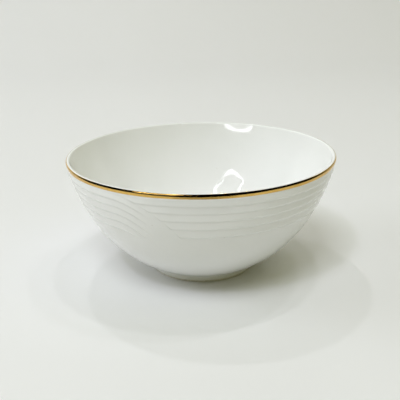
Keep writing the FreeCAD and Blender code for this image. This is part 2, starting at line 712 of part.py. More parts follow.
def make_gold_band():
    """The gold line: one stroke of it, repeated round the lip with each stroke joined to the next."""
    body = make_body("gold_rim_band")
    sketch = make_sketch(body, "gold_section")
    draw_gold_section(sketch)
    stroke = revolve(body, sketch)
    stroke.setExpression("Angle", "360 deg / sheet.gold_strokes")
    stroke.Refine = False
    strokes = repeat_round(body, stroke, "gold_strokes", "sheet.gold_strokes")
    strokes.Refine = False
    return body


def make_fuse(label, shapes):
    """Several solids joined into one."""
    fuse = doc.addObject("Part::MultiFuse", label)
    fuse.Label = label
    fuse.Shapes = shapes
    return fuse


def make_cut(label, base, tool):
    """One solid with another taken away."""
    cut = doc.addObject("Part::Cut", label)
    cut.Label = label
    cut.Base = base
    cut.Tool = tool
    return cut


def make_bowl_body():
    """The porcelain wall and base, with the relief moulded into its outside."""
    plain_wall = make_turned("plain_wall", "wall_section", draw_wall_section)
    return make_fuse("bowl_body", [plain_wall] + make_relief("clay", 0.0, "0"))


def make_outside_glaze(clay):
    """The outside glaze: the glazed form of wall, relief and foot, less the clay under it."""
    form = make_turned("glazed_form", "outside_glaze_section", draw_outside_glaze_section)
    relief = make_relief("glaze", size("glaze_thickness"), "sheet.glaze_thickness")
    glazed = make_fuse("glazed_outside", [form] + relief)
    return make_cut("outside_glaze", glazed, make_fuse("clay_under_glaze", clay))


def make_pieces():
    """All pieces of the bowl, in the order in which they are made."""
    bowl_body = make_bowl_body()
    foot_ring = make_turned("foot_ring", "foot_section", draw_foot_section)
    doc.recompute()
    return [
        bowl_body,
        foot_ring,
        make_turned("inside_glaze", "inside_glaze_section", draw_inside_glaze_section),
        make_outside_glaze([bowl_body, foot_ring]),
        make_turned("base_glaze", "base_glaze_section", draw_base_glaze_section),
        make_gold_band(),
    ]


def check_document(pieces):
    """Stop if any object failed, a sketch isn't fully tied down, or a piece isn't one valid solid."""
    for item in doc.Objects:
        if {"Invalid", "Error"} & set(item.State):
            raise RuntimeError(f"{item.Label} is in state {item.State}")
        if item.TypeId == "Sketcher::SketchObject" and not item.FullyConstrained:
            raise RuntimeError(f"{item.Label} isn't fully constrained")
    for piece in pieces:
        shape = piece.Shape
        if shape.isNull() or not shape.isValid() or len(shape.Solids) != 1:
            raise RuntimeError(f"{piece.Label} isn't one valid solid")


def write_pieces(pieces):
    """Write each piece to its own STEP file and print its size."""
    os.makedirs("parts", exist_ok=True)
    for piece in pieces:
        piece.Shape.exportStep(f"parts/{piece.Label}.step")
        box = piece.Shape.BoundBox
        print(f"{piece.Label}: {box.XLength:.2f} x {box.YLength:.2f} x {box.ZLength:.2f} mm,"
              f" {piece.Shape.Volume:.0f} mm3, {len(piece.Shape.Faces)} faces")


bowl_pieces = make_pieces()
doc.recompute()
check_document(bowl_pieces)
write_pieces(bowl_pieces)
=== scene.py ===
import math

import bpy
import numpy as np
from mathutils import Matrix, Vector


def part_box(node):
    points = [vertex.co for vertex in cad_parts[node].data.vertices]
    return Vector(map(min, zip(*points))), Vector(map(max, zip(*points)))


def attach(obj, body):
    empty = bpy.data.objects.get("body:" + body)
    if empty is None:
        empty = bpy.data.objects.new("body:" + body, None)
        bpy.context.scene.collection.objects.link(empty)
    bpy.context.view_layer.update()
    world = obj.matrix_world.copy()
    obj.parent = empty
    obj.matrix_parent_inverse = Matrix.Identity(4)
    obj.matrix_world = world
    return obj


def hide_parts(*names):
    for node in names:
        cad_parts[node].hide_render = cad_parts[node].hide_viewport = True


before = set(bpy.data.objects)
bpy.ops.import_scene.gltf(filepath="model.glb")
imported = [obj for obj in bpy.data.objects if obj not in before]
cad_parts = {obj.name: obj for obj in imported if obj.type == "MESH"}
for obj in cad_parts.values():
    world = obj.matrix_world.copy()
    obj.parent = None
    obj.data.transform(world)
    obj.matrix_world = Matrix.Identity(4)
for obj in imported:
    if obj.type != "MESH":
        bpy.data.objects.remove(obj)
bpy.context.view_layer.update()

# Looks of the porcelain serving bowl. Each piece is a section, followed as arcs and lines in
# millimetres and turned about Z, with the moulded relief added along the wall's normal. Angles
# round the bowl are in degrees from -Y, the side that faces the camera, towards +X.

MM = 0.001

# Sizes that the frame gives
RIM_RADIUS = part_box("outside_glaze")[1].x / MM
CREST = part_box("outside_glaze")[1].z / MM
GLAZE_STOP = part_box("outside_glaze")[0].z / MM
FOOT_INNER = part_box("base_glaze")[1].x / MM
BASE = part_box("base_glaze")[1].z / MM

# The wall's section
HALF_LIP = 1.25
GLAZE = 0.25
RIM_LEAN = 13.7
SHOULDER = 171.0
BELLY_JOIN = 44.0
BELLY = 86.5
FLOOR = 7.5
FLOOR_FLAT = 18.0

# The foot ring
FOOT_RADIUS = 36.8
FOOT_DRAFT = 6.0
FOOT_FILLET = 2.2
EDGE_ROUND = 0.6
WELL_FILLET = 1.0

# The relief: depths are measured down from the crest
RELIEF_START = 3.3
STEPS_TOP = 4.2
FIRST_STEP = 8.2
STEP_PITCH = 4.95
STEP_GROWTH = 0.3
STEP_COUNT = 5
STEP_DEPTHS = [FIRST_STEP + STEP_PITCH * n + STEP_GROWTH * n * (n - 1) / 2 for n in range(STEP_COUNT)]
STEP_RISE = 0.55
LEDGE_DROP = 0.8
STEP_BLUR = 0.33
SWEEP_DEPTH = 44.2
SWEEP_RADIUS = 40.4
SWEEP_START = -37.5
SWEEP_COUNT = 3
SWEEP_SPACING = 360 / SWEEP_COUNT
WEDGE_WIDTH = 1.1
FADE_ACROSS = (17.0, 26.0)
FADE_DOWN = (30.0, 34.0)
RELIEF_END = 36.0

# The gold line: depths are measured down from the crest
GOLD_TOP = 0.16
GOLD_DROP = 2.95
GOLD_FILM = 0.06
GOLD_EDGE = 0.012

# How far a covered surface stays under what covers it
TUCK = 0.02


# ---------------------------------------------------------------- outlines

class Outline:
    """A run of arcs and lines in the r-z plane. Its normals point to the left of its travel."""

    def __init__(self):
        self.parts = []

    def arc(self, centre, radius, start, end):
        """Arc between two angles in degrees; the normal points away from its centre."""
        length = radius * abs(math.radians(end - start))
        self.parts.append(("arc", length, (centre, radius, math.radians(start), math.radians(end), 1)))
        return self

    def hollow(self, centre, radius, start, end):
        """Arc whose normal points towards its centre."""
        length = radius * abs(math.radians(end - start))
        self.parts.append(("arc", length, (centre, radius, math.radians(start), math.radians(end), -1)))
        return self

    def line(self, start, end, normal):
        """Straight line with a given unit normal."""
        length = math.dist(start, end)
        self.parts.append(("line", length, (start, end, normal)))
        return self

    def length(self):
        """Distance from one end of the outline to the other."""
        return sum(part[1] for part in self.parts)

    def at(self, along):
        """Radius, height and unit normal at each distance along the outline."""
        along = np.asarray(along, float)
        found = np.zeros(along.shape + (4,))
        begin = 0.0
        for number, (kind, length, data) in enumerate(self.parts):
            last = number == len(self.parts) - 1
            here = (along >= begin) & ((along < begin + length) | last)
            if number == 0:
                here |= along < begin
            share = ((along - begin) / length)[here]
            if kind == "arc":
                centre, radius, start, end, side = data
                angle = start + (end - start) * share
                cosine, sine = np.cos(angle), np.sin(angle)
                found[here] = np.stack([centre[0] + radius * cosine, centre[1] + radius * sine,
                                        side * cosine, side * sine], -1)
            else:
                start, end, normal = data
                found[here] = np.stack([start[0] + (end[0] - start[0]) * share,
                                        start[1] + (end[1] - start[1]) * share,
                                        np.full_like(share, normal[0]),
                                        np.full_like(share, normal[1])], -1)
            begin += length
        return found


def toward(degrees):
    """Unit vector in the r-z plane."""
    return math.cos(math.radians(degrees)), math.sin(math.radians(degrees))


def shifted(point, degrees, distance):
    """The point that lies a distance away in a direction."""
    across, up = toward(degrees)
    return point[0] + across * distance, point[1] + up * distance


LIP = (RIM_RADIUS - HALF_LIP, CREST - HALF_LIP)
SHOULDER_CENTRE = shifted(LIP, 180 - RIM_LEAN, SHOULDER - HALF_LIP)
JOIN_TURN = math.degrees(math.asin((SHOULDER_CENTRE[1] - BELLY_JOIN) / (SHOULDER - GLAZE)))
BELLY_CENTRE = shifted(SHOULDER_CENTRE, -JOIN_TURN, SHOULDER - BELLY)


def inside_curves():
    """Centre and radius of the glazed inside's lower curve, and where it meets the upper one."""
    upper = SHOULDER - 2 * HALF_LIP
    across = FLOOR_FLAT - SHOULDER_CENTRE[0]
    drop = SHOULDER_CENTRE[1] - FLOOR
    radius = (across ** 2 + drop ** 2 - upper ** 2) / (2 * (drop - upper))
    centre = (FLOOR_FLAT, FLOOR + radius)
    turn = math.degrees(math.atan2(SHOULDER_CENTRE[1] - centre[1], across))
    return centre, radius, turn


FLOOR_CENTRE, FLOOR_RADIUS, INSIDE_TURN = inside_curves()


def foot_curves():
    """Centres of the foot's edge round and fillet, and where the fillet meets the belly."""
    edge = (FOOT_RADIUS - EDGE_ROUND, EDGE_ROUND)
    start = shifted(edge, -FOOT_DRAFT, EDGE_ROUND + FOOT_FILLET)
    upward = toward(90 - FOOT_DRAFT)
    offset = (start[0] - BELLY_CENTRE[0], start[1] - BELLY_CENTRE[1])
    reach = BELLY - GLAZE + FOOT_FILLET
    along = offset[0] * upward[0] + offset[1] * upward[1]
    climb = -along - math.sqrt(along ** 2 - offset[0] ** 2 - offset[1] ** 2 + reach ** 2)
    centre = (start[0] + upward[0] * climb, start[1] + upward[1] * climb)
    meeting = math.degrees(math.atan2(centre[1] - BELLY_CENTRE[1], centre[0] - BELLY_CENTRE[0]))
    return edge, centre, meeting


FOOT_EDGE, FILLET_CENTRE, FILLET_MEETING = foot_curves()


def outside_outline(skin, low):
    """Outside of the wall and foot, from the crest down to a height; skin is 0 on the glaze."""
    side_top = shifted(FILLET_CENTRE, 180 - FOOT_DRAFT, FOOT_FILLET - GLAZE - skin)
    side_low = (side_top[0] - (side_top[1] - low) * math.tan(math.radians(FOOT_DRAFT)), low)
    outline = Outline()
    outline.arc(LIP, HALF_LIP + skin, 90, -RIM_LEAN)
    outline.arc(SHOULDER_CENTRE, SHOULDER + skin, -RIM_LEAN, -JOIN_TURN)
    outline.arc(BELLY_CENTRE, BELLY + skin, -JOIN_TURN, FILLET_MEETING)
    outline.hollow(FILLET_CENTRE, FOOT_FILLET - GLAZE - skin, FILLET_MEETING + 180, 180 - FOOT_DRAFT)
    outline.line(side_top, side_low, toward(-FOOT_DRAFT))
    return outline


def inside_outline(skin):
    """Inside of the wall, from the crest down to the middle of the floor."""
    outline = Outline()
    outline.arc(LIP, HALF_LIP + skin, 90, 180 - RIM_LEAN)
    outline.hollow(SHOULDER_CENTRE, SHOULDER - 2 * HALF_LIP - skin, -RIM_LEAN, -INSIDE_TURN)
    outline.hollow(FLOOR_CENTRE, FLOOR_RADIUS - skin, -INSIDE_TURN, -90)
    outline.line((FLOOR_FLAT, FLOOR + skin), (0, FLOOR + skin), (0, 1))
    return outline


# ---------------------------------------------------------------- relief

def smooth_step(value, low, high):
    """0 below low, 1 above high, and a soft rise between them."""
    share = np.clip((value - low) / (high - low), 0, 1)
    return share * share * (3 - 2 * share)


def step_table():
    """Height of the steps against depth, with every edge softened as glaze softens it."""
    deepest, fineness, blur_reach = 50, 0.01, 3 * STEP_BLUR
    depth = np.arange(0, deepest, fineness)
    corners = [0, STEPS_TOP]
    heights = [0, 0]
    for root in STEP_DEPTHS:
        corners += [root - LEDGE_DROP, root]
        heights += [STEP_RISE, 0]
    height = np.interp(depth, corners, heights)
    spread = np.arange(-blur_reach, blur_reach, fineness)
    weight = np.exp(-0.5 * (spread / STEP_BLUR) ** 2)
    return depth, np.convolve(height, weight / weight.sum(), "same")


STEP_PLACE, STEP_HEIGHT = step_table()


def relief(radius, height, azimuth):
    """Height of the relief over the wall, at points of the plain wall."""
    depth = CREST - height
    turn = (azimuth - SWEEP_START + SWEEP_SPACING / 2) % SWEEP_SPACING - SWEEP_SPACING / 2
    across = radius * np.sin(np.radians(turn))
    arm = np.hypot(across, SWEEP_DEPTH - depth)
    swept = (turn > 0) & (depth < SWEEP_DEPTH) & (arm < SWEEP_RADIUS)
    along = np.where(swept, SWEEP_DEPTH - arm, depth)
    raised = np.interp(along, STEP_PLACE, STEP_HEIGHT)
    fade = (1 - smooth_step(across, *FADE_ACROSS)) * (1 - smooth_step(depth, *FADE_DOWN))
    wedge = smooth_step(arm - SWEEP_RADIUS, 0, WEDGE_WIDTH)
    begun = (turn > 0) & (depth < SWEEP_DEPTH)
    return raised * np.where(swept, fade, np.where(begun, wedge, 1))


def plain(radius, height, azimuth):
    """No relief."""
    return np.zeros(np.broadcast(radius, height, azimuth).shape)


# ---------------------------------------------------------------- meshes

def column_angles():
    """Angles round the bowl, close together where the sweeps are."""
    fine, coarse = 0.25, 1.2
    fine_from, fine_to = -1.5, 30.0
    coarse_to = fine_from + SWEEP_SPACING
    near = np.arange(fine_from, fine_to, fine)
    far = np.linspace(fine_to, coarse_to, int((coarse_to - fine_to) / coarse) + 1)
    one = np.concatenate([near, far[:-1]])
    return np.concatenate([one + SWEEP_START + SWEEP_SPACING * n for n in range(SWEEP_COUNT)])


COLUMNS = column_angles()
EVEN_COLUMNS = np.arange(0, 360, 1.5)


def surface(outline, along, azimuth, bump):
    """Points of the turned outline, in millimetres, raised along its normal."""
    found = outline.at(along)
    radius, height, out_r, out_z = (found[..., n] for n in range(4))
    raised = bump(radius, height, azimuth)
    turn = np.radians(azimuth)
    reach = radius + out_r * raised
    return np.stack([reach * np.sin(turn), -reach * np.cos(turn), height + out_z * raised], -1)


def grid(outline, rows, columns, bump=plain):
    """Points and true normals of an outline turned through the columns, one row to a ring.

    The normals come from points a small step along the outline and a small swing round it.
    """
    rows = np.asarray(rows, float)
    along = np.broadcast_to(rows if rows.ndim == 2 else rows[:, None], (len(rows), len(columns)))
    azimuth = np.broadcast_to(columns, along.shape)
    step, swing = 0.03, 0.02
    points = surface(outline, along, azimuth, bump)
    down = surface(outline, along + step, azimuth, bump) - surface(outline, along - step, azimuth, bump)
    across = (surface(outline, along, azimuth + swing, bump)
              - surface(outline, along, azimuth - swing, bump))
    normals = np.cross(down, across)
    lengths = np.linalg.norm(normals, axis=-1, keepdims=True)
    found = outline.at(along)
    turn = np.radians(azimuth)
    outward = np.stack([found[..., 2] * np.sin(turn), -found[..., 2] * np.cos(turn), found[..., 3]], -1)
    normals = np.where(lengths > 1e-6, normals / np.maximum(lengths, 1e-9), outward)
    flip = np.sum(normals * outward, -1, keepdims=True) < 0
    return points, np.where(flip, -normals, normals)


def rings(points, normals):
    """A grid's rows as rings, with a row on the axis reduced to one point."""
    found = []
    for row, facing in zip(points, normals):
        if np.abs(row[:, :2]).max() < 1e-6:
            found.append((row[:1], facing[:1]))
        else:
            found.append((row, facing))
    return found


def join_rings(first, second, columns, begin):
    """Faces between two rings that start at the given vertex numbers."""
    here = np.arange(columns)
    after = (here + 1) % columns
    upper, lower = begin
    if first == 1 and second == 1:
        return []
    if first == 1:
        return np.stack([np.full(columns, upper), lower + here, lower + after], -1).tolist()
    if second == 1:
        return np.stack([upper + here, np.full(columns, lower), upper + after], -1).tolist()
    return np.stack([upper + here, lower + here, lower + after, upper + after], -1).tolist()


def volume(points, faces):
    """Signed volume inside the faces, which is negative if they face inwards."""
    first, second, third = (points[[face[n] for face in faces]] for n in range(3))
    last = points[[face[-1] for face in faces]]
    halves = np.cross(first, second) * third + np.cross(first, third) * last
    return halves.sum() / 6


def build_piece(name, grids, attributes=()):
    """A closed piece from grids that follow each other and end where they began."""
    stack = [ring for points, normals in grids for ring in rings(points, normals)]
    columns = max(len(ring[0]) for ring in stack)
    starts = np.cumsum([0] + [len(ring[0]) for ring in stack])
    faces = []
    for number, ring in enumerate(stack):
        following = (number + 1) % len(stack)
        begin = (starts[number], starts[following])
        faces += join_rings(len(ring[0]), len(stack[following][0]), columns, begin)
    points = np.concatenate([ring[0] for ring in stack])
    normals = np.concatenate([ring[1] for ring in stack])
    if volume(points, faces) < 0:
        faces = [face[::-1] for face in faces]
    mesh = bpy.data.meshes.new(name)
    mesh.from_pydata((points * MM).tolist(), [], faces)
    mesh.polygons.foreach_set("use_smooth", [True] * len(mesh.polygons))
    mesh.update()
    mesh.normals_split_custom_set_from_vertices(normals.tolist())
    for title, rule in attributes:
        layer = mesh.attributes.new(title, "FLOAT", "POINT")
        layer.data.foreach_set("value", rule(points).astype(np.float32))
    piece = bpy.data.objects.new(name, mesh)
    bpy.context.scene.collection.objects.link(piece)
    return piece


def along_at(outline, heights):
    """Distance along a falling outline at which it passes each height."""
    along = np.linspace(0, outline.length(), 20001)
    return np.interp(-np.asarray(heights, float), -outline.at(along)[:, 1], along)


def relief_depths():
    """Depths of the rows over the relief: close together over each ledge, wider on each face."""
    top_margin, margin = 0.2, 0.4
    depths = [np.linspace(RELIEF_START, STEPS_TOP + top_margin, 4)]
    face_start = STEPS_TOP + 0.5
    for root in STEP_DEPTHS:
        ledge_start = root - LEDGE_DROP - margin
        ledge_end = root + margin
        depths.append(np.linspace(face_start, ledge_start, 6, endpoint=False))
        depths.append(np.linspace(ledge_start, ledge_end, 11, endpoint=False))
        face_start = ledge_end
    depths.append(np.linspace(face_start, RELIEF_END, 9))
    return np.concatenate(depths)


# ---------------------------------------------------------------- pieces

def step_pool_and_shade(points):
    """How much glaze has pooled, and how much shade is painted, from 0 to 1: most in the root of each step.
    """
    x, y, z = points.T
    radius = np.hypot(x, y)
    azimuth = np.degrees(np.arctan2(x, -y))
    reach, deepest_pool_and_shade = 0.45, 0.3 * STEP_RISE
    here = relief(radius, z, azimuth)
    around = (relief(radius, z + reach, azimuth) + relief(radius, z - reach, azimuth)) / 2
    # Painted shade as well as pooled glaze: the root under each ledge gets the darker colour.
    return np.clip((around - here) / deepest_pool_and_shade, 0, 1)


def stretch_rows(*stretches):
    """Rows along an outline: each stretch is (where it begins, where it ends, how many)."""
    return np.concatenate([np.linspace(begin, end, count, endpoint=False)
                           for begin, end, count in stretches] + [[stretches[-1][1]]])


def low_rows(outline, begin):
    """Rows from a place on the belly to the end of the foot, close together on the fillet."""
    ends = np.cumsum([part[1] for part in outline.parts])
    return stretch_rows((begin, ends[2], 26), (ends[2], ends[3], 9), (ends[3], ends[4], 5))


def back_grid(outline, rows, bump=plain):
    """Grid of a skin's hidden side, whose normals point into the wall."""
    points, normals = grid(outline, rows, COLUMNS, bump)
    return points, -normals


def glaze_end():
    """Rounded lower edge of the outside glaze, from its outer side round to its inner side."""
    stop = outside_outline(-GLAZE / 2, GLAZE_STOP + GLAZE / 2)
    radius, height = stop.at(stop.length())[:2]
    outline = Outline().arc((radius, height), GLAZE / 2, -FOOT_DRAFT, -180 - FOOT_DRAFT)
    return grid(outline, np.linspace(0, outline.length(), 7)[1:-1], COLUMNS)


def make_outside_glaze():
    """Outside glaze, with the relief, from the crest to its rounded lower edge on the foot."""
    outer = outside_outline(0, GLAZE_STOP + GLAZE / 2)
    inner = outside_outline(-GLAZE, GLAZE_STOP + GLAZE / 2)
    lip = np.linspace(0, outer.parts[0][1], 14)
    upper = along_at(outer, CREST - np.linspace(1.7, 3.0, 4))
    steps = along_at(outer, CREST - relief_depths())
    rows = np.concatenate([lip, upper, steps, low_rows(outer, steps[-1])[1:]])
    back_steps = along_at(inner, CREST - np.linspace(4, RELIEF_END, 22))
    back = np.concatenate([[0, inner.parts[0][1]], back_steps, low_rows(inner, back_steps[-1])[1:]])
    grids = [grid(outer, rows, COLUMNS, relief), glaze_end(), back_grid(inner, back[::-1], relief)]
    return build_piece("outside_glaze_skin", grids, [("pool_and_shade", step_pool_and_shade)])


def no_pool_or_shade(points):
    """No pooled glaze and no painted shade."""
    return np.zeros(len(points))


def make_inside_glaze():
    """Inside glaze, from the crest to the middle of the floor."""
    inner = inside_outline(0)
    under = inside_outline(-GLAZE)
    lip = np.linspace(0, inner.parts[0][1], 14)
    rows = np.concatenate([lip, np.linspace(lip[-1], inner.length(), 44)[1:]])
    back = np.concatenate([np.linspace(under.length(), under.parts[0][1], 24), [0]])
    grids = [grid(inner, rows, COLUMNS), back_grid(under, back)]
    return build_piece("inside_glaze_skin", grids, [("pool_and_shade", no_pool_or_shade)])


def make_base_glaze():
    """Glaze under the base and down the inner side of the foot, with a rounded end."""
    corner = (FOOT_INNER - GLAZE - WELL_FILLET, BASE - GLAZE - WELL_FILLET)
    end = GLAZE / 2
    outline = Outline()
    outline.line((0, BASE - GLAZE), (corner[0], BASE - GLAZE), (0, -1))
    outline.hollow(corner, WELL_FILLET, 90, 0)
    outline.line((FOOT_INNER - GLAZE, corner[1]), (FOOT_INNER - GLAZE, GLAZE_STOP + end), (-1, 0))
    outline.arc((FOOT_INNER - end, GLAZE_STOP + end), end, 180, 360)
    outline.line((FOOT_INNER, GLAZE_STOP + end), (FOOT_INNER, BASE), (1, 0))
    outline.line((FOOT_INNER, BASE), (0, BASE), (0, 1))
    rows = np.linspace(0, outline.length(), 120)
    return build_piece("base_glaze_skin", [grid(outline, rows, EVEN_COLUMNS)], [("pool_and_shade", no_pool_or_shade)])


def make_clay():
    """The porcelain itself under the glaze: wall, relief and base."""
    outer = outside_outline(-GLAZE, GLAZE_STOP)
    inner = inside_outline(-GLAZE)
    low = along_at(outer, [BASE])[0]
    steps = along_at(outer, CREST - relief_depths()[::2])
    rows = np.concatenate([
        np.linspace(0, outer.parts[0][1], 9),
        steps,
        np.linspace(steps[-1], low, 40)[1:],
    ])
    low_radius = outer.at(low)[0]
    base = Outline().line((low_radius, BASE), (0, BASE), (0, -1))
    inside_rows = np.linspace(inner.length(), 0, 40)[:-1]

    def sunk_relief(*where):
        return relief(*where) - TUCK

    def sunk_plain(*where):
        return plain(*where) - TUCK

    columns = COLUMNS[::2]
    grids = [
        grid(outer, rows, columns, sunk_relief),
        grid(base, np.linspace(0, base.length(), 8)[1:], columns),
        grid(inner, inside_rows, columns, sunk_plain),
    ]
    return build_piece("clay_wall", grids)


def grit(radius, height, azimuth):
    """Fine unevenness of the bare standing edge, left by grinding and by the kiln shelf."""
    turn = np.radians(azimuth)
    bare_top = 0.9
    bare = 1 - smooth_step(height, bare_top, GLAZE_STOP)
    wave = plain(radius, height, azimuth)
    waves_round_and_size = ((7, 0.012), (23, 0.010), (61, 0.008), (97, 0.006))
    for number, (count, size) in enumerate(waves_round_and_size):
        wave = wave + size * np.sin(count * turn + 1.7 * number + 2.3 * radius)
    return -np.abs(wave) * bare


def make_foot():
    """The foot ring, with its bare, slightly gritty standing edge."""
    side_top = shifted(FILLET_CENTRE, 180 - FOOT_DRAFT, FOOT_FILLET)
    side_low = shifted(FOOT_EDGE, -FOOT_DRAFT, EDGE_ROUND)
    inner_edge = (FOOT_INNER + EDGE_ROUND, EDGE_ROUND)
    belly = BELLY - GLAZE
    seat_turn = -math.degrees(math.asin((BELLY_CENTRE[1] - BASE) / belly))
    seat = shifted(BELLY_CENTRE, seat_turn, belly)
    outline = Outline()
    outline.hollow(FILLET_CENTRE, FOOT_FILLET, FILLET_MEETING + 180, 180 - FOOT_DRAFT)
    outline.line(side_top, side_low, toward(-FOOT_DRAFT))
    outline.arc(FOOT_EDGE, EDGE_ROUND, -FOOT_DRAFT, -90)
    outline.line((FOOT_EDGE[0], 0), (inner_edge[0], 0), (0, -1))
    outline.arc(inner_edge, EDGE_ROUND, 270, 180)
    outline.line((FOOT_INNER, EDGE_ROUND), (FOOT_INNER, BASE), (-1, 0))
    outline.line((FOOT_INNER, BASE), seat, (0, 1))
    outline.hollow(BELLY_CENTRE, belly, seat_turn, FILLET_MEETING)
    rows = np.linspace(0, outline.length(), 140)[:-1]
    return build_piece("foot", [grid(outline, rows, EVEN_COLUMNS, grit)])


def gold_edges(azimuth):
    """Where the gold begins and ends along the outline: a brushed line is never quite even."""
    outline = outside_outline(0, GLAZE_STOP)
    turn = np.radians(azimuth)
    upper = along_at(outline, [CREST - GOLD_TOP])[0]
    lower = along_at(outline, [CREST - GOLD_DROP])[0]
    high = upper + 0.05 * np.sin(5 * turn + 0.4) + 0.03 * np.sin(13 * turn + 2.0)
    low = lower + 0.07 * np.sin(4 * turn + 1.1) + 0.04 * np.sin(11 * turn) + 0.02 * np.sin(37 * turn + 0.7)
    return high, low


def make_gold():
    """The gold line: a film with tapered edges, over the glaze on the outer side of the lip."""
    outline = outside_outline(0, GLAZE_STOP)
    high, low = gold_edges(COLUMNS)
    share = np.linspace(0, 1, 22)[:, None]
    rows = high + (low - high) * share
    taper = 1 - np.abs(2 * share - 1) ** 8
    points, normals = grid(outline, rows, COLUMNS)
    over = points + normals * (GOLD_FILM * taper + GOLD_EDGE)[..., None]
    under = points[::-3] - normals[::-3] * TUCK
    return build_piece("gold_line", [(over, normals), (under, -normals[::-3])])


# ---------------------------------------------------------------- materials

class Nodes:
    """A short way to add nodes to a material and link them."""

    MIX_FACTOR, MIX_FIRST, MIX_SECOND, MIX_RESULT = 0, 6, 7, 2

    def __init__(self, name):
        self.material = bpy.data.materials.new(name)
        self.material.use_nodes = True
        self.tree = self.material.node_tree
        self.shader = self.tree.nodes["Principled BSDF"]

    def add(self, kind, **settings):
        node = self.tree.nodes.new(kind)
        for key, value in settings.items():
            setattr(node, key, value)
        return node

    def link(self, source, target):
        self.tree.links.new(source, target)

    def noise(self, scale, detail=2.0, stretch=(1, 1, 1)):
        """Noise over the object's own coordinates; scale is in cycles per metre."""
        place = self.add("ShaderNodeTexCoord")
        mapping = self.add("ShaderNodeMapping")
        mapping.inputs["Scale"].default_value = stretch
        noise = self.add("ShaderNodeTexNoise")
        noise.inputs["Scale"].default_value = scale
        noise.inputs["Detail"].default_value = detail
        self.link(place.outputs["Object"], mapping.inputs["Vector"])
        self.link(mapping.outputs["Vector"], noise.inputs["Vector"])
        return noise.outputs["Fac"]

    def ramp(self, value, *stops):
        """Colours picked by a value: stops are (place, colour)."""
        ramp = self.add("ShaderNodeValToRGB")
        while len(ramp.color_ramp.elements) < len(stops):
            ramp.color_ramp.elements.new(0.5)
        for element, (place, colour) in zip(ramp.color_ramp.elements, stops):
            element.position = place
            element.color = (*colour, 1)
        self.link(value, ramp.inputs["Fac"])
        return ramp.outputs["Color"]

    def mix(self, factor, first, second):
        """Mix of two colours, each a socket or a plain colour."""
        mix = self.add("ShaderNodeMix", data_type="RGBA")
        self.link(factor, mix.inputs[self.MIX_FACTOR])
        for number, colour in ((self.MIX_FIRST, first), (self.MIX_SECOND, second)):
            socket = mix.inputs[number]
            if isinstance(colour, tuple):
                socket.default_value = (*colour, 1)
            else:
                self.link(colour, socket)
        return mix.outputs[self.MIX_RESULT]

    def spread(self, value, low, high):
        """A value from 0 to 1 carried to another range."""
        spread = self.add("ShaderNodeMapRange")
        spread.inputs["To Min"].default_value = low
        spread.inputs["To Max"].default_value = high
        self.link(value, spread.inputs["Value"])
        return spread.outputs["Result"]

    def bump(self, height, distance, below=None):
        """Bump of that height in metres, on top of another bump if one is given."""
        bump = self.add("ShaderNodeBump")
        bump.inputs["Distance"].default_value = distance
        self.link(height, bump.inputs["Height"])
        if below is not None:
            self.link(below, bump.inputs["Normal"])
        return bump.outputs["Normal"]

    def set(self, **values):
        """Set or link the shader's inputs, with _ for the spaces in their names."""
        for name, value in values.items():
            socket = self.shader.inputs[name.replace("_", " ")]
            if isinstance(value, bpy.types.NodeSocket):
                self.link(value, socket)
            else:
                socket.default_value = value


def glaze_material():
    """Clear glossy glaze over white porcelain: slow waviness, pooled glaze with painted shade in the roots
    of the steps, a rare speck.
    """
    nodes = Nodes("white_glaze")
    tone = nodes.ramp(nodes.noise(22, 3), (0.35, (0.875, 0.88, 0.865)), (0.7, (0.90, 0.90, 0.89)))
    # Pooled glaze and painted shade: the colour is darker in the roots of the relief steps.
    pool_and_shade = nodes.add("ShaderNodeAttribute", attribute_name="pool_and_shade")
    pooled_and_shaded = nodes.mix(pool_and_shade.outputs["Fac"], tone, (0.84, 0.85, 0.83))
    specks = nodes.ramp(nodes.noise(900, 1), (0.0, (0, 0, 0)), (0.80, (0, 0, 0)), (0.83, (1, 1, 1)))
    colour = nodes.mix(specks, pooled_and_shaded, (0.52, 0.49, 0.42))
    waves = nodes.bump(nodes.noise(60, 2), 0.000015)
    nodes.set(Base_Color=colour, Roughness=nodes.spread(nodes.noise(60, 3), 0.035, 0.08),
              Normal=nodes.bump(nodes.noise(1400, 2), 0.000004, waves), IOR=1.52)
    return nodes.material


def clay_material():
    """Unglazed porcelain: matt, fine and slightly warm."""
    nodes = Nodes("biscuit_porcelain")
    tone = nodes.ramp(nodes.noise(160, 4), (0.3, (0.70, 0.68, 0.62)), (0.7, (0.78, 0.76, 0.71)))
    nodes.set(Base_Color=tone, Roughness=nodes.spread(nodes.noise(500, 3), 0.7, 0.9),
              Normal=nodes.bump(nodes.noise(2500, 3), 0.00004))
    return nodes.material


def foot_material():
    """Bare standing edge, greyed where it has been set down and slid."""
    nodes = Nodes("bare_foot_edge")
    stain = nodes.ramp(nodes.noise(70, 4), (0.35, (0.56, 0.53, 0.47)), (0.65, (0.70, 0.68, 0.62)))
    grains = nodes.ramp(nodes.noise(1800, 2), (0.40, (0, 0, 0)), (0.62, (1, 1, 1)))
    nodes.set(Base_Color=nodes.mix(grains, stain, (0.76, 0.74, 0.69)),
              Roughness=nodes.spread(nodes.noise(700, 2), 0.65, 0.95),
              Normal=nodes.bump(nodes.noise(2200, 3), 0.00006))
    return nodes.material


def gold_material():
    """Bright fired gold: mirror-like, with faint brush lines round the lip and thin patches."""
    nodes = Nodes("fired_gold")
    tone = nodes.ramp(nodes.noise(130, 4), (0.3, (0.70, 0.42, 0.10)), (0.7, (0.84, 0.55, 0.17)))
    brushed = nodes.noise(60, 3, (1, 1, 40))
    nodes.set(Base_Color=tone, Metallic=1.0, Roughness=nodes.spread(nodes.noise(350, 3), 0.10, 0.24),
              Normal=nodes.bump(brushed, 0.00003))
    return nodes.material


# ---------------------------------------------------------------- assembly

def place_piece(piece, material, slot, *nodes):
    """Give a piece its material, fix it to the root body, and hide the CAD nodes that it stands for."""
    piece.data.materials.append(material)
    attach(piece, "root")
    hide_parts(*nodes)


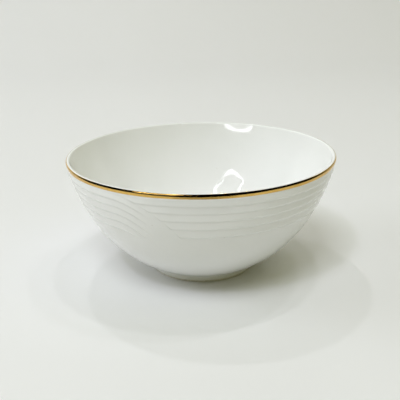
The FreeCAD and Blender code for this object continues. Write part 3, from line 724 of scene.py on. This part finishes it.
def make_bowl():
    """All pieces of the bowl, each in place of its CAD node."""
    glaze = glaze_material()
    place_piece(make_clay(), clay_material(), "porcelain", "bowl_body")
    place_piece(make_foot(), foot_material(), "bare_foot", "foot_ring")
    place_piece(make_inside_glaze(), glaze, "glaze", "inside_glaze")
    place_piece(make_outside_glaze(), glaze, "glaze", "outside_glaze")
    place_piece(make_base_glaze(), glaze, "glaze", "base_glaze")
    place_piece(make_gold(), gold_material(), "gold", "gold_rim_band")


# ---------------------------------------------------------------- studio

def make_camera():
    """In front of the bowl and above the lip, looking down into it."""
    distance, over_crest = 0.3945, 0.1068
    pitch, yaw, roll = math.radians(19.84), math.radians(-0.16), math.radians(-1.05)
    forward = Vector((math.sin(yaw) * math.cos(pitch), math.cos(yaw) * math.cos(pitch), -math.sin(pitch)))
    level = Vector((math.cos(yaw), -math.sin(yaw), 0))
    upright = level.cross(forward)
    right = level * math.cos(roll) + upright * math.sin(roll)
    up = upright * math.cos(roll) - level * math.sin(roll)
    data = bpy.data.cameras.new("camera")
    data.sensor_width = 36
    data.lens = 54
    data.clip_start = 0.01
    camera = bpy.data.objects.new("camera", data)
    turn = Matrix((right, up, -forward)).transposed()
    camera.matrix_world = Matrix.Translation((0, -distance, CREST * MM + over_crest)) @ turn.to_4x4()
    bpy.context.scene.collection.objects.link(camera)
    bpy.context.scene.camera = camera


def make_floor():
    """Pale, slightly glossy table that runs back and sweeps up into the backdrop."""
    half, flat_end, bend, rise = 4.0, 1.0, 1.2, 3.0
    turns = np.radians(np.linspace(0, 90, 31))
    profile = [(-half, 0)]
    profile += [(flat_end + bend * math.sin(turn), bend - bend * math.cos(turn)) for turn in turns]
    profile += [(flat_end + bend, rise)]
    corners = [(x, y, z) for y, z in profile for x in (-half, half)]
    faces = [(2 * n, 2 * n + 1, 2 * n + 3, 2 * n + 2) for n in range(len(profile) - 1)]
    mesh = bpy.data.meshes.new("table")
    mesh.from_pydata(corners, [], faces)
    mesh.polygons.foreach_set("use_smooth", [True] * len(faces))
    table = bpy.data.objects.new("table", mesh)
    nodes = Nodes("pale_table")
    nodes.set(Base_Color=(0.80, 0.80, 0.80, 1), Roughness=0.35)
    mesh.materials.append(nodes.material)
    bpy.context.scene.collection.objects.link(table)


def unlit_prop(thing, colour, glow, for_camera=False):
    """Give a stage object an even glow, or none, and let only glossy surfaces or only the camera see it."""
    nodes = Nodes(thing.name + "_surface")
    nodes.set(Base_Color=(0, 0, 0, 1), Specular_IOR_Level=0.0, Emission_Color=(*colour, 1),
              Emission_Strength=glow)
    nodes.material.cycles.emission_sampling = "NONE"
    thing.data.materials.append(nodes.material)
    thing.visible_camera = for_camera
    thing.visible_glossy = not for_camera
    thing.visible_diffuse = False
    thing.visible_shadow = False


def ring_lamp(name, place, radius, tube, waves=()):
    """A tube bent into a level ring, which shows in the glaze as a bright loop.

    Each wave makes the ring uneven: how many times round, by what share of the radius, and its turn.
    """
    bpy.ops.mesh.primitive_torus_add(location=place, major_radius=radius, minor_radius=tube,
                                     major_segments=96, minor_segments=12)
    ring = bpy.context.object
    ring.name = name
    for vertex in ring.data.vertices:
        turn = math.atan2(vertex.co.y, vertex.co.x)
        swell = 1 + sum(share * math.sin(count * turn + begin) for count, share, begin in waves)
        vertex.co.x *= swell
        vertex.co.y *= swell
    unlit_prop(ring, (0.95, 0.97, 1.0), 12.0)


def upright_wall(ends, bottom, top):
    """Corners and faces of a wall that stands on a run of points."""
    corners = [(x, y, z) for x, y in ends for z in (bottom, top)]
    faces = [(2 * n, 2 * n + 2, 2 * n + 3, 2 * n + 1) for n in range(len(ends) - 1)]
    return corners, faces


def dark_room():
    """What the gold mirrors in front: dark ground, a person behind the camera, and a low dark wall."""
    reach, wall_top, half_turn, sides = 0.44, 0.20, 95, 38
    near, left, right, person_top = -0.1615, -0.15, 0.25, 0.36
    low = 0.001
    ground = [(left, near, low), (right, near, low), (right, -reach, low), (left, -reach, low)]
    turns = np.radians(np.linspace(-half_turn, half_turn, sides + 1))
    circle = [(reach * math.sin(turn), -reach * math.cos(turn)) for turn in turns]
    corners, faces = ground, [(0, 1, 2, 3)]
    for ends, top in (([(left, -reach), (right, -reach)], person_top), (circle, wall_top)):
        more, walls = upright_wall(ends, low, top)
        faces = faces + [tuple(len(corners) + corner for corner in wall) for wall in walls]
        corners = corners + more
    mesh = bpy.data.meshes.new("dark_room")
    mesh.from_pydata(corners, [], faces)
    room = bpy.data.objects.new("dark_room", mesh)
    bpy.context.scene.collection.objects.link(room)
    unlit_prop(room, (0, 0, 0), 0.0)


def pale_surround():
    """The plain pale room that the camera sees beyond the table's edge. It lights nothing."""
    bpy.ops.mesh.primitive_uv_sphere_add(segments=64, ring_count=32, radius=7.0)
    surround = bpy.context.object
    surround.name = "pale_surround"
    unlit_prop(surround, (0.57, 0.58, 0.55), 1.0, for_camera=True)


def lamp(name, way, distance, size, power, colour, mirrored=False):
    """A round lamp that shines on the bowl from a direction, and may be mirrored in the glaze."""
    data = bpy.data.lights.new(name, "AREA")
    data.shape = "DISK"
    data.size = size
    data.energy = power
    data.color = colour
    light = bpy.data.objects.new(name, data)
    away = Vector(way).normalized()
    turn = away.to_track_quat("Z", "Y").to_matrix().to_4x4()
    light.matrix_world = Matrix.Translation(away * distance) @ turn
    light.visible_glossy = mirrored
    bpy.context.scene.collection.objects.link(light)


def make_world():
    """Faint warm light from all round, which the glaze and the gold don't mirror."""
    world = bpy.data.worlds.new("room")
    world.use_nodes = True
    background = world.node_tree.nodes["Background"]
    background.inputs["Color"].default_value = (1.0, 0.98, 0.48, 1)
    background.inputs["Strength"].default_value = 0.25
    bpy.context.scene.world = world
    world.cycles_visibility.glossy = False


def make_soft_lights():
    """Wide lights round the room: name, direction, distance, width, power and colour."""
    lamp("left_window", (-3.0, 0.0, 1.6), 3.4, 1.6, 20, (0.86, 0.90, 1.0))
    lamp("back_window", (-2.9, 0.8, 1.1), 3.1, 1.2, 14, (0.88, 0.92, 1.0))
    lamp("front_light", (-0.5, -1.6, 2.9), 3.4, 1.4, 45, (0.88, 0.94, 1.0))
    lamp("right_light", (1.8, -0.6, 2.8), 3.5, 1.4, 3, (1.0, 1.0, 0.45))


def make_ceiling_lamps():
    """Small lamps that each draw a faint round shadow, and ring lamps that only the glaze shows."""
    small, cool = 0.10, (0.94, 0.93, 1.0)
    lamp("back_lamp", (-0.21, 0.457, 1), 3.6, small, 10, cool, mirrored=True)
    lamp("right_lamp", (0.335, 0.193, 1), 3.4, small, 6, cool, mirrored=True)
    lamp("middle_lamp", (0.143, 0.106, 1), 3.3, small, 7.5, cool, mirrored=True)
    lamp("front_lamp", (-0.373, -0.62, 1), 4.0, 0.40, 20, (0.82, 0.80, 1.0))
    ring_lamp("near_ring", (-0.86, -0.84, 1.3), 0.47, 0.03, waves=((2, 0.35, -0.1), (3, 0.10, -0.5)))
    ring_lamp("far_ring", (-3.4, -4.7, 1.27), 1.7, 0.05)


def make_studio():
    make_camera()
    make_floor()
    make_world()
    make_soft_lights()
    make_ceiling_lamps()
    dark_room()
    pale_surround()
    bpy.context.scene.view_settings.view_transform = "Standard"


make_studio()
make_bowl()
